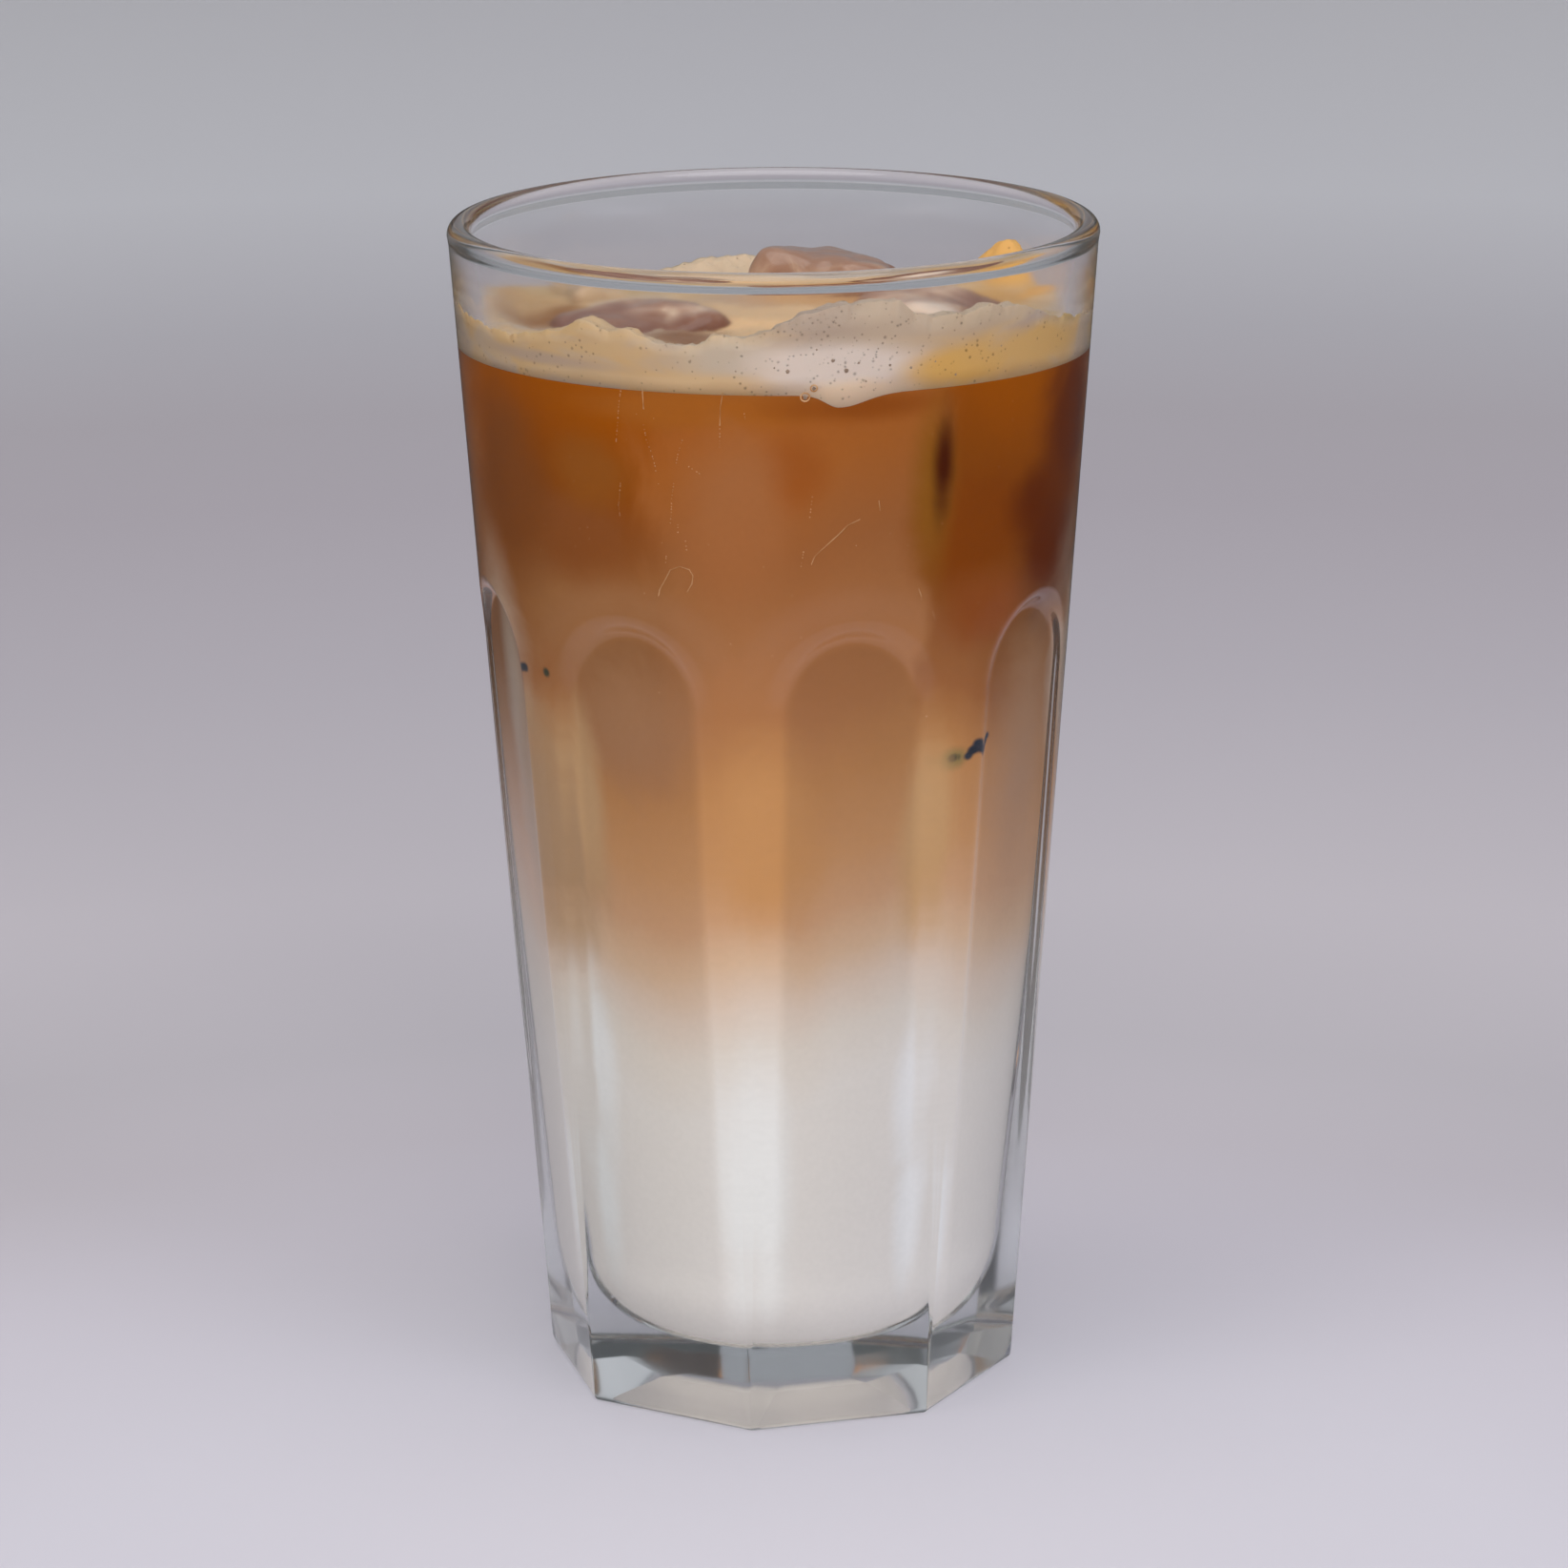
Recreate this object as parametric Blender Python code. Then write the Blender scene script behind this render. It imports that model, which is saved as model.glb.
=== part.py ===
# A tall arched-facet tumbler filled with iced white mocha: milk, coffee, foam and ice.
# Metres, +Z up. The glass stands on z = 0 round the Z axis and its front looks along -Y.

import math
import random

import bmesh
import bpy
from mathutils import Euler, Matrix, Vector, noise

# Glass, outside
HEIGHT = 0.140
RIM_RADIUS = 0.038
FOOT_RADIUS = 0.02815       # to the corners of the octagonal foot
FACETS = 8
FACET_TURN = math.radians(15.25)     # middle of the first facet, from -Y towards +X
PANEL_HALF = 0.0080         # half the width of a facet's flat panel
RUN_OUT = 0.0027            # soft band from the panel's edge up to the rib
ARCH_CENTRE = 0.0890        # height at which the panel's round head begins
APOTHEM_FOOT = FOOT_RADIUS * math.cos(math.pi / FACETS)
APOTHEM_SLOPE = 0.0746      # how far the panels lean out with height
SHARP_BELOW = 0.018         # the ribs shrink to sharp corners towards this height
SOFT_ABOVE = 0.056
FOOT_EDGE = 0.0009          # radius of the foot's bottom edge
ARCH_STEPS = 4              # points round each half of a panel's head
WALL_HEIGHTS = [0.018, 0.031, 0.044, 0.056, 0.074, ARCH_CENTRE]
RUN_OUT_SHARES = [0.33, 0.66, 1.0]

# Glass, inside
LIP_RADIUS = 0.00125
WALL_SLOPE = 0.1290         # more than outside, so the wall gets thicker towards the foot
FLOOR_HEIGHT = 0.0073       # thickness of glass under the drink
FLOOR_CORNER = 0.0092
STAND_WIDTH = 0.0012        # flat ring that the glass stands on
DISH_FLAT = 0.0135          # apothem of the flat middle of the octagonal dish under the foot
DISH_DEPTH = 0.0022
LIP_STEPS = 6
INNER_HEIGHTS = [0.120, 0.070]
CORNER_STEPS = 4

# Contents
GAP = 0.0003                # clearance between touching pieces
MILK_TOP = 0.0550           # where the white milk gives way to coffee
FOAM_FOOT = 0.1253          # underside of the foam against the glass
FOAM_LEVEL = 0.1290         # top of the foam away from the glass
FOAM_SWELL = 0.0007         # the underside's slow rise and fall round the glass
FOAM_SWELL_TURN = math.radians(-20)
FOAM_DIP_TURN = math.radians(12.6)
FOAM_DIP = 0.0016
FOAM_DIP_WIDTH = math.radians(7.0)
CREEP_INNER = 0.0200        # the foam climbs towards the wall outside this radius
FOAM_ROUGH = 0.0005
FOAM_LUMP = 0.0065          # size of the lumps on top
FOAM_FOOT_SHARES = [0.33, 0.66, 1.0]
FOAM_TOP_SHARES = [1.0, 0.94, 0.86, 0.76, 0.62, 0.46, 0.30, 0.15]
MILK_BEND = 0.036           # the milk's side has a ring of points here
COFFEE_BEND = 0.100
DRINK_COLUMNS = 48
ICE_CUTS = 5
ICE_SQUARE = 4.5            # 2 would be a ball, and more is squarer
ICE_SWELL = 0.13            # melted hollows and swellings, as a share of the size
ICE_SWELL_SCALE = 0.9

# Heads of foam against the glass: turn from -Y, half-width, rise above the level
FOAM_HEADS = [
    (math.radians(-22), math.radians(24), 0.0036),
    (math.radians(30), math.radians(38), 0.0046),
    (math.radians(128), math.radians(13), 0.0040),
]

# Ice that pokes out: centre, size, turn about Z, lean about X and Y (degrees), seed
ICE = {
    "ice_left": ((-0.0152, -0.0088, 0.1204), (0.0200, 0.0165, 0.0215), 24, (6, -7), 3),
    "ice_back": ((0.0052, 0.0178, 0.1214), (0.0175, 0.0165, 0.0230), -12, (-8, 9), 8),
    "ice_right": ((0.0185, -0.0050, 0.1206), (0.0175, 0.0180, 0.0210), 32, (7, 5), 14),
    "ice_edge": ((-0.0224, 0.0102, 0.1217), (0.0090, 0.0120, 0.0170), 22, (-6, 8), 21),
}


def clear_scene():
    for item in list(bpy.data.objects):
        bpy.data.objects.remove(item, do_unlink=True)


def smooth(value):
    value = min(max(value, 0.0), 1.0)
    return value * value * (3.0 - 2.0 * value)


def place(radius, turn, height):
    return Vector((radius * math.sin(turn), -radius * math.cos(turn), height))


def cone_radius(z):
    return FOOT_RADIUS + (RIM_RADIUS - FOOT_RADIUS) * z / HEIGHT


def outer_radius(turn, z):
    """Outside of the glass, for a turn measured from the middle of a facet."""
    cone = cone_radius(z)
    panel = min((APOTHEM_FOOT + APOTHEM_SLOPE * z) / math.cos(turn), cone)
    beyond = math.hypot(cone * math.sin(turn), max(z - ARCH_CENTRE, 0.0)) - PANEL_HALF
    soft = smooth((z - SHARP_BELOW) / (SOFT_ABOVE - SHARP_BELOW))
    climb = min(max(beyond / RUN_OUT, 0.0), 1.0)
    return panel + (cone - panel) * climb * (2.0 - climb) * soft


def inner_radius(z):
    """Inside of the wall, a round cone."""
    return RIM_RADIUS - 2.0 * LIP_RADIUS - WALL_SLOPE * (HEIGHT - LIP_RADIUS - z)


def loft(name, rings):
    """Closed mesh through rings of points; a ring of one point is a pole."""
    mesh = bmesh.new()
    rows = [[mesh.verts.new(point) for point in ring] for ring in rings]
    for lower, upper in zip(rows, rows[1:]):
        count = max(len(lower), len(upper))
        for i in range(count):
            j = (i + 1) % count
            if len(lower) == 1:
                mesh.faces.new((lower[0], upper[j], upper[i]))
            elif len(upper) == 1:
                mesh.faces.new((lower[i], lower[j], upper[0]))
            else:
                mesh.faces.new((lower[i], lower[j], upper[j], upper[i]))
    bmesh.ops.recalc_face_normals(mesh, faces=mesh.faces)
    return add_object(name, mesh)


def add_object(name, mesh):
    data = bpy.data.meshes.new(name)
    mesh.to_mesh(data)
    mesh.free()
    item = bpy.data.objects.new(name, data)
    bpy.context.collection.objects.link(item)
    return item


def shade(item, angle):
    item.data.shade_smooth()
    item.data.set_sharp_from_angle(angle=math.radians(angle))


def material(name, colour, roughness, transmission=0.0, alpha=1.0, ior=1.45):
    made = bpy.data.materials.new(name)
    made.use_nodes = True
    shader = made.node_tree.nodes["Principled BSDF"]
    shader.inputs["Base Color"].default_value = (*colour, 1.0)
    shader.inputs["Roughness"].default_value = roughness
    shader.inputs["Metallic"].default_value = 0.0
    shader.inputs["Transmission Weight"].default_value = transmission
    shader.inputs["Alpha"].default_value = alpha
    shader.inputs["IOR"].default_value = ior
    made.diffuse_color = (*colour, alpha)
    return made


def arch_turns():
    """Turns round half of a panel's head, from its side up to its top."""
    return [math.pi / 2.0 * step / ARCH_STEPS for step in range(1, ARCH_STEPS + 1)]


def glass_columns():
    """Places across each facet: its flat panel, the bands beside it and the shared rib."""
    head = [PANEL_HALF * math.cos(turn) for turn in arch_turns()]
    half = [PANEL_HALF + RUN_OUT, PANEL_HALF] + head[:-1]
    across = [-value for value in half] + [0.0] + half[::-1]
    columns = []
    for facet in range(FACETS):
        middle = FACET_TURN + facet * 2.0 * math.pi / FACETS
        columns += [(middle, place_across) for place_across in across]
        columns.append((middle, None))
    return columns


def glass_ring(columns, z, radius=None, inset=0.0):
    """Ring at one height: on the faceted outside, or round where a radius is given."""
    ring = []
    for middle, across in columns:
        turn = math.pi / FACETS
        if across is not None:
            turn = math.asin(across / cone_radius(z))
        reach = outer_radius(turn, z) - inset if radius is None else radius
        ring.append(place(reach, middle + turn, z))
    return ring


def octagon_ring(columns, z, apothem):
    """Ring under the foot, parallel to the edges of its octagon."""
    ring = []
    for middle, across in columns:
        turn = math.pi / FACETS
        if across is not None:
            turn = math.asin(across / FOOT_RADIUS)
        ring.append(place(apothem / math.cos(turn), middle + turn, z))
    return ring


def make_glass():
    columns = glass_columns()
    rings = [[Vector((0.0, 0.0, DISH_DEPTH))]]
    rings.append(octagon_ring(columns, DISH_DEPTH, DISH_FLAT))
    rings.append(octagon_ring(columns, 0.0, APOTHEM_FOOT - FOOT_EDGE - STAND_WIDTH))
    for step in range(3):
        turn = math.pi / 2.0 * step / 2.0
        inset = FOOT_EDGE * (1.0 - math.sin(turn))
        rings.append(glass_ring(columns, FOOT_EDGE * (1.0 - math.cos(turn)), inset=inset))
    heights = WALL_HEIGHTS + [ARCH_CENTRE + PANEL_HALF * math.sin(turn) for turn in arch_turns()]
    heights += [ARCH_CENTRE + PANEL_HALF + share * RUN_OUT for share in RUN_OUT_SHARES]
    rings += [glass_ring(columns, z) for z in heights]
    lip_height = HEIGHT - LIP_RADIUS
    lip_middle = RIM_RADIUS - LIP_RADIUS
    for step in range(LIP_STEPS + 1):
        turn = math.pi * step / LIP_STEPS
        height = lip_height + LIP_RADIUS * math.sin(turn)
        rings.append(glass_ring(columns, height, lip_middle + LIP_RADIUS * math.cos(turn)))
    for z in INNER_HEIGHTS:
        rings.append(glass_ring(columns, z, inner_radius(z)))
    for radius, z in floor_corner(0.0):
        rings.append(glass_ring(columns, z, radius))
    rings.append([Vector((0.0, 0.0, FLOOR_HEIGHT))])
    item = loft("glass", rings)
    shade(item, 28)
    item.data.materials.append(material("clear_glass", (0.86, 0.90, 0.90), 0.03, 0.85, 0.35, 1.52))
    return item


def floor_corner(clearance):
    """Round corner between the inner wall and the floor, from the wall down to the floor."""
    foot = FLOOR_HEIGHT + FLOOR_CORNER
    middle = inner_radius(foot) - FLOOR_CORNER
    reach = FLOOR_CORNER - clearance
    points = []
    for step in range(CORNER_STEPS + 1):
        turn = math.pi / 2.0 * step / CORNER_STEPS
        points.append((middle + reach * math.cos(turn), foot - reach * math.sin(turn)))
    return points


def drink_turns():
    return [2.0 * math.pi * i / DRINK_COLUMNS for i in range(DRINK_COLUMNS)]


def level_ring(radius, z):
    return [place(radius, turn, z) for turn in drink_turns()]


def make_milk():
    rings = [[Vector((0.0, 0.0, FLOOR_HEIGHT + GAP))]]
    for radius, z in reversed(floor_corner(GAP)):
        rings.append(level_ring(radius, z))
    for z in (MILK_BEND, MILK_TOP):
        rings.append(level_ring(inner_radius(z) - GAP, z))
    rings.append([Vector((0.0, 0.0, MILK_TOP))])
    item = loft("milk", rings)
    shade(item, 40)
    item.data.materials.append(material("milk", (0.63, 0.60, 0.56), 0.35))
    return item


def foam_foot(turn):
    """Height of the foam's underside, with its dip and a slow swell round the glass."""
    off = math.remainder(turn - FOAM_DIP_TURN, 2.0 * math.pi) / FOAM_DIP_WIDTH
    swell = FOAM_SWELL * math.cos(turn - FOAM_SWELL_TURN)
    return FOAM_FOOT + swell - FOAM_DIP * math.exp(-off * off)


def foam_top(turn, radius):
    """Height of the foam: low and bubbly in the middle, heaped up against the glass."""
    head = 0.0
    for middle, width, rise in FOAM_HEADS:
        off = math.remainder(turn - middle, 2.0 * math.pi) / width
        head += rise * math.exp(-off * off)
    wall = inner_radius(FOAM_LEVEL) - GAP
    climb = smooth((radius - CREEP_INNER) / (wall - CREEP_INNER))
    spot = place(radius, turn, 0.0) / FOAM_LUMP
    return FOAM_LEVEL + head * climb + FOAM_ROUGH * noise.noise(spot)


def make_coffee():
    low = MILK_TOP + GAP
    rings = [[Vector((0.0, 0.0, low))]]
    for z in (low, COFFEE_BEND):
        rings.append(level_ring(inner_radius(z) - GAP, z))
    for share in reversed(FOAM_FOOT_SHARES):
        rings.append(foot_ring(share, -GAP))
    rings.append([Vector((0.0, 0.0, foam_foot(math.pi) - GAP))])
    item = loft("coffee", rings)
    item.data.materials.append(material("milky_coffee", (0.33, 0.14, 0.05), 0.30))
    return item


def foot_ring(share, lift):
    """Ring just above or below the foam's underside, at a share of the way to the wall."""
    ring = []
    middle = foam_foot(math.pi)
    for turn in drink_turns():
        z = middle + (foam_foot(turn) - middle) * share + lift
        ring.append(place((inner_radius(z) - GAP) * share, turn, z))
    return ring


def make_foam():
    rings = [[Vector((0.0, 0.0, foam_foot(math.pi)))]]
    rings += [foot_ring(share, 0.0) for share in FOAM_FOOT_SHARES]
    for share in FOAM_TOP_SHARES:
        ring = []
        for turn in drink_turns():
            radius = (inner_radius(FOAM_LEVEL) - GAP) * share
            z = foam_top(turn, radius)
            reach = min(inner_radius(z) - GAP, radius / share) * share
            ring.append(place(reach, turn, z))
        rings.append(ring)
    rings.append([Vector((0.0, 0.0, foam_top(0.0, 0.0)))])
    item = loft("foam", rings)
    item.data.materials.append(material("crema_foam", (0.52, 0.39, 0.26), 0.60))
    return item


def make_ice(name, grow=0.0):
    """Melted cube with round edges and soft hollows; grow makes the cutter that clears it."""
    centre, size, turn, lean, seed = ICE[name]
    mesh = bmesh.new()
    bmesh.ops.create_cube(mesh, size=2.0)
    bmesh.ops.subdivide_edges(mesh, edges=mesh.edges, cuts=ICE_CUTS, use_grid_fill=True)
    draw = random.Random(seed)
    offset = Vector((draw.uniform(-9, 9), draw.uniform(-9, 9), draw.uniform(-9, 9)))
    half = Vector(size) / 2.0
    lean_turn = Euler((math.radians(lean[0]), math.radians(lean[1]), math.radians(turn)))
    stand = Matrix.Translation(Vector(centre)) @ lean_turn.to_matrix().to_4x4()
    for vert in mesh.verts:
        flat = vert.co.copy()
        flat /= sum(abs(value) ** ICE_SQUARE for value in flat) ** (1.0 / ICE_SQUARE)
        swell = 1.0 + ICE_SWELL * noise.noise(flat * ICE_SWELL_SCALE + offset)
        reach = [flat[axis] * (half[axis] * swell + grow) for axis in range(3)]
        vert.co = stand @ Vector(reach)
    bmesh.ops.recalc_face_normals(mesh, faces=mesh.faces)
    item = add_object(name if grow == 0.0 else name + "_cutter", mesh)
    if grow == 0.0:
        shade(item, 60)
        item.data.materials.append(ICE_MATERIAL)
    return item


def cut_round_ice(item, cutters):
    for cutter in cutters:
        cut = item.modifiers.new(cutter.name, "BOOLEAN")
        cut.operation = "DIFFERENCE"
        cut.object = cutter
        cut.solver = "EXACT"


def make_cutters():
    cutters = []
    for name in ICE:
        cutter = make_ice(name, grow=GAP)
        cutter.hide_render = True
        cutter.display_type = "WIRE"
        cutters.append(cutter)
    return cutters


clear_scene()
ICE_MATERIAL = material("coffee_stained_ice", (0.34, 0.22, 0.17), 0.12, 0.4)
make_glass()
make_milk()
coffee = make_coffee()
foam = make_foam()
for ice_name in ICE:
    make_ice(ice_name)
ice_cutters = make_cutters()
cut_round_ice(coffee, ice_cutters)
cut_round_ice(foam, ice_cutters)
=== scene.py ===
import functools
import math
import random

import bmesh
import bpy
from mathutils import Euler, Matrix, Vector, noise


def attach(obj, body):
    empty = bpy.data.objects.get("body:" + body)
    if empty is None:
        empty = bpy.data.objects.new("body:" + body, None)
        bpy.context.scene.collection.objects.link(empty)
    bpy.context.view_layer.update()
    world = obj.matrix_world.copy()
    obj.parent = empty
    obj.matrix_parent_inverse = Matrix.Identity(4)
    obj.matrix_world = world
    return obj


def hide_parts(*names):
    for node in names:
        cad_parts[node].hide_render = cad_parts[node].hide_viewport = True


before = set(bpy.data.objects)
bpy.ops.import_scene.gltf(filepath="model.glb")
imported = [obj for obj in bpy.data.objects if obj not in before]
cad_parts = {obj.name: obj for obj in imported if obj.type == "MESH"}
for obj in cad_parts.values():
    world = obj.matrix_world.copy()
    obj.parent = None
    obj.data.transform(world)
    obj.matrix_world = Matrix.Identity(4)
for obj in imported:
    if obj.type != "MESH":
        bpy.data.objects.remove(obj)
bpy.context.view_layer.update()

# A tall pressed glass of iced white mocha: milk, coffee, foam and four pieces of ice.
# Metres, the table is z = 0 and the photo looks along +Y. A turn goes round the glass from -Y towards +X.


def linear(code):  # sRGB hex to the linear colour that shaders want
    parts = [int(code[i:i + 2], 16) / 255 for i in (0, 2, 4)]
    return [p / 12.92 if p <= 0.04045 else ((p + 0.055) / 1.055) ** 2.4 for p in parts] + [1.0]


def addNode(tree, kind, settings=None, wires=None):  # wires: an input and the socket or node it comes from
    made = tree.nodes.new("ShaderNode" + kind)
    for name, value in (settings or {}).items():
        if name == "stops":  # colour ramp: list of (place, colour)
            marks = made.color_ramp.elements
            while len(marks) < len(value):
                marks.new(0.5)
            for mark, (place, colour) in zip(marks, value):
                mark.position = place
            for mark, (place, colour) in zip(marks, value):
                mark.color = linear(colour) if isinstance(colour, str) else (colour, colour, colour, 1.0)
        elif name == "interpolation":
            made.color_ramp.interpolation = value
        elif isinstance(name, int) or name in made.inputs:
            made.inputs[name].default_value = value
        else:
            setattr(made, name, value)
    for name, source in (wires or {}).items():
        if isinstance(source, bpy.types.Node):  # its first output that is in use
            source = next(socket for socket in source.outputs if socket.enabled)
        tree.links.new(source, made.inputs[name])
    return made


multiply = {"data_type": "RGBA", "blend_type": "MULTIPLY", 0: 1.0}  # settings of a Mix node
smooth = {"interpolation_type": "SMOOTHSTEP"}  # and of a Map Range node


def newMaterial(name):  # with what adds a node to it and its object's own coordinates
    made = bpy.data.materials.new(name)
    made.use_nodes = True
    made.node_tree.nodes.clear()
    add = functools.partial(addNode, made.node_tree)
    return made, add, add("TexCoord").outputs["Object"]


def placePiece(mesh, material):
    for face in mesh.polygons:
        face.use_smooth = True
    mesh.materials.append(material)
    piece = bpy.data.objects.new(mesh.name, mesh)
    bpy.context.scene.collection.objects.link(piece)
    return piece


def meshPiece(name, points, faces, material, sharpAbove=None):
    mesh = bpy.data.meshes.new(name)
    mesh.from_pydata(points, [], faces)
    mesh.validate()
    shape = bmesh.new()
    shape.from_mesh(mesh)
    bmesh.ops.recalc_face_normals(shape, faces=shape.faces)
    shape.to_mesh(mesh)
    shape.free()
    piece = placePiece(mesh, material)
    if sharpAbove:
        mesh.set_sharp_from_angle(angle=math.radians(sharpAbove))
    return piece


def lathe(name, rings, material, sharpAbove=None):  # a ring of one point closes an end
    points = [point for ring in rings for point in ring]
    starts = [sum(len(r) for r in rings[:i]) for i in range(len(rings))]
    faces = []
    for (a, ringA), (b, ringB) in zip(zip(starts, rings), zip(starts[1:], rings[1:])):
        count = max(len(ringA), len(ringB))
        for i in range(count):
            j = (i + 1) % count
            if len(ringA) == 1:
                faces.append((a, b + i, b + j))
            elif len(ringB) == 1:
                faces.append((a + j, a + i, b))
            else:
                faces.append((a + i, a + j, b + j, b + i))
    return meshPiece(name, points, faces, material, sharpAbove)


def smoothStep(value):
    value = min(max(value, 0.0), 1.0)
    return value * value * (3.0 - 2.0 * value)


def around(radius, turn, height):
    return Vector((radius * math.sin(turn), -radius * math.cos(turn), height))


def onWall(degrees, mm):  # point on the inner wall
    return around(innerRadius(mm / 1000), math.radians(degrees), mm / 1000)


def wallSpots(rows):  # turn in degrees, height, half width and half height in mm, softness, colour
    return [(onWall(degrees, mm), (wide / 1000, wide / 1000, tall / 1000), edge, tone)
            for degrees, mm, wide, tall, edge, tone in rows]


def paintSpots(add, place, colour, spots, stray):  # spots: middle, half size, softness of the edge, colour
    for middle, size, edge, tone in spots:
        shift = add("VectorMath", {"operation": "SUBTRACT", 1: middle}, {0: place})
        scaled = add("VectorMath", {"operation": "DIVIDE", 1: size}, {0: shift})
        away = add("VectorMath", {"operation": "LENGTH"}, {0: scaled})
        bent = add("Math", {"operation": "ADD"}, {0: away, 1: stray})
        mask = add("MapRange", {**smooth, "From Min": 1.0 + edge, "From Max": 1.0 - edge}, {"Value": bent})
        colour = add("Mix", {"data_type": "RGBA", 7: linear(tone)}, {0: mask, 6: colour})
    return colour


def turnNode(add, axes):  # the turn of each point of a surface
    back = add("Math", {"operation": "MULTIPLY", 1: -1.0}, {0: axes.outputs["Y"]})
    return add("Math", {"operation": "ARCTAN2"}, {0: axes.outputs["X"], 1: back})


# Glass

tumbler = {
    "height": 0.140, "rimRadius": 0.038, "footRadius": 0.02815,
    "facets": 8, "facetTurn": math.radians(15.25),
    "panelHalf": 0.0080, "runOut": 0.0027, "archCentre": 0.0890,
    "apothemSlope": 0.0746, "sharpBelow": 0.018, "softAbove": 0.056,
    "pressSoftness": 0.30,  # share of the run-out over which the panel's edge is rounded
    "footEdge": 0.0009, "standWidth": 0.0012, "dishFlat": 0.0135, "dishDepth": 0.0022,
    "crease": 0.00010,  # half width of the creases under the foot
    "lipRadius": 0.00125, "wallSlope": 0.1290, "floorHeight": 0.0073, "floorCorner": 0.0092,
    "beadRadius": 0.00145, "beadEase": 0.00015, "beadRow": 0.00007,  # the lip is thicker than the wall below
    "skinRows": [  # lowest ring, distance and count: closest at the arches
        (0.0015, 0.0030, 6), (0.0195, 0.0025, 16), (0.0600, 0.0045, 6), (0.0860, 0.0020, 2),
        (0.0890, 0.00025, 48),
    ],
    "upperRows": [0.1015, 0.105, 0.112, 0.120, 0.128, 0.134, 0.1375],
    "insideRows": [0.1371, 0.1365, 0.134, 0.126, 0.112, 0.098, 0.084, 0.070, 0.056, 0.042, 0.030, 0.020],
    "roughness": 0.09, "ior": 1.51,
    "tint": "dae1e1", "tintDensity": 14.0,  # colour of 10 mm or so of this glass
    "shade": "ecefef",  # light that passes into its shadow
    "panelShade": [  # height in mm, light let in beside a rib
        (8, 1.0), (20, 0.86), (46, 0.84), (60, 0.74), (102, 0.68),
    ],
    "panelEdge": (-0.0012, 0.0008),  # where that shade begins and ends, from the panel's edge
    "rippleSize": 0.0090909,
    "sag": 0.00020, "sagReach": 0.0065,  # the skin leans a little above each arch and mirrors the table
}
apothemFoot = tumbler["footRadius"] * math.cos(math.pi / tumbler["facets"])
facetHalf = math.pi / tumbler["facets"]


def coneRadius(z):
    return tumbler["footRadius"] + (tumbler["rimRadius"] - tumbler["footRadius"]) * z / tumbler["height"]


def innerRadius(z):
    g = tumbler
    return g["rimRadius"] - 2 * g["lipRadius"] - g["wallSlope"] * (g["height"] - g["lipRadius"] - z)


def beadInside(z):  # inner side of the bead at the lip, eased into the wall
    g = tumbler
    drop = g["height"] - g["beadRadius"] - z
    bead = g["rimRadius"] - g["beadRadius"] - math.sqrt(max(g["beadRadius"] ** 2 - drop * drop, 0.0))
    wall = innerRadius(z)
    near = max(g["beadEase"] - abs(bead - wall), 0.0) / g["beadEase"]
    return min(bead, wall) - near * near * g["beadEase"] / 4


def outerRadius(turn, z):  # turn from the middle of a facet
    g = tumbler
    cone = coneRadius(z)
    panel = min((apothemFoot + g["apothemSlope"] * z) / math.cos(turn), cone)
    beyond = math.hypot(cone * math.sin(turn), max(z - g["archCentre"], 0.0)) - g["panelHalf"]
    climb = min(max(beyond / g["runOut"], 0.0), 1.0)
    ease = g["pressSoftness"]
    climb = climb * climb / (2 * ease) if climb < ease else climb - ease / 2
    climb = climb / (1 - ease / 2)
    soft = smoothStep((z - g["sharpBelow"]) / (g["softAbove"] - g["sharpBelow"]))
    return panel + (cone - panel) * climb * (2.0 - climb) * soft


def facetColumns(z):  # turns of one facet's columns, which follow the panel's edges
    g = tumbler
    cone = coneRadius(z)
    across = [g["panelHalf"] * i / 20 for i in range(1, 21)]
    across += [g["panelHalf"] + g["runOut"] * i / 8 for i in range(1, 9)]
    half = [math.asin(a / cone) for a in across]
    edge = half[-1]
    half += [edge + (facetHalf - edge) * i / 5 for i in range(1, 6)]
    return [-t for t in reversed(half[:-1])] + [0.0] + half


def glassRing(z, radius=None, inset=0.0, apothem=None, columnsAt=None):
    ring = []
    turns = facetColumns(z if columnsAt is None else columnsAt)
    for facet in range(tumbler["facets"]):
        middle = tumbler["facetTurn"] + facet * 2 * facetHalf
        for turn in turns:
            if apothem is not None:
                reach = apothem / math.cos(turn)
            else:
                reach = outerRadius(turn, z) - inset if radius is None else radius
            ring.append(around(reach, middle + turn, z))
    return ring


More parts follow.
